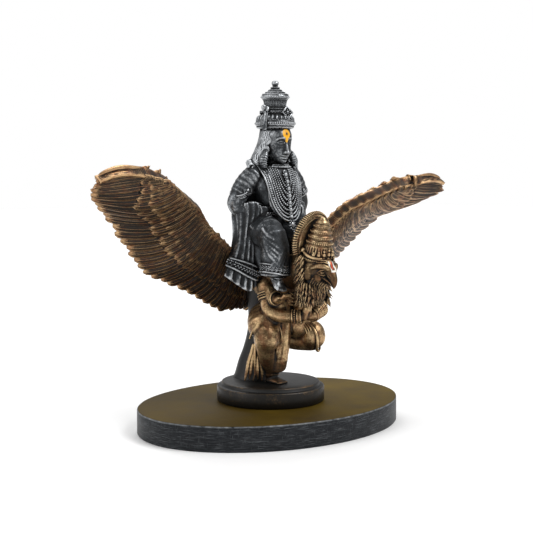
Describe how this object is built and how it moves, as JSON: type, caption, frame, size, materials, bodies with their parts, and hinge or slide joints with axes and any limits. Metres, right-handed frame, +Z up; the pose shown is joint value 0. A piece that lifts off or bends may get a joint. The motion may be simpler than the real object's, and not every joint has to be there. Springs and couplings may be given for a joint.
{
  "type": "deity statue",
  "caption": "Cast statue of a crowned deity riding a kneeling winged bird-man, on a round stepped plinth glued to an oval slab.",
  "frame": {"origin": "middle of the oval slab's underside, on the surface it stands on", "axes": "+Z up, the group faces -Y, the wings spread along X with the figures' right at -X"},
  "size_m": [0.3986, 0.19, 0.2993],
  "materials": {
    "coppered_black": "cast resin painted black-brown, its raised work dry-brushed with copper and bronze; satin",
    "silvered_black": "cast resin painted black, its raised work dry-brushed with antique silver; satin",
    "plain_black": "cast resin painted black with rubbed bronze on its edges; satin",
    "gilded_black": "black slab, top satin with an olive-gold tint, side charcoal grey with fine pale scratches",
    "yellow_paint": "hand painted forehead mark, satin",
    "white_paint": "hand painted forehead mark, satin",
    "red_paint": "hand painted forehead mark, satin"
  },
  "bodies": {
    "root": {"garuda_and_vithoba": "coppered_black", "oval_slab": "gilded_black"}
  },
  "joints": []
}
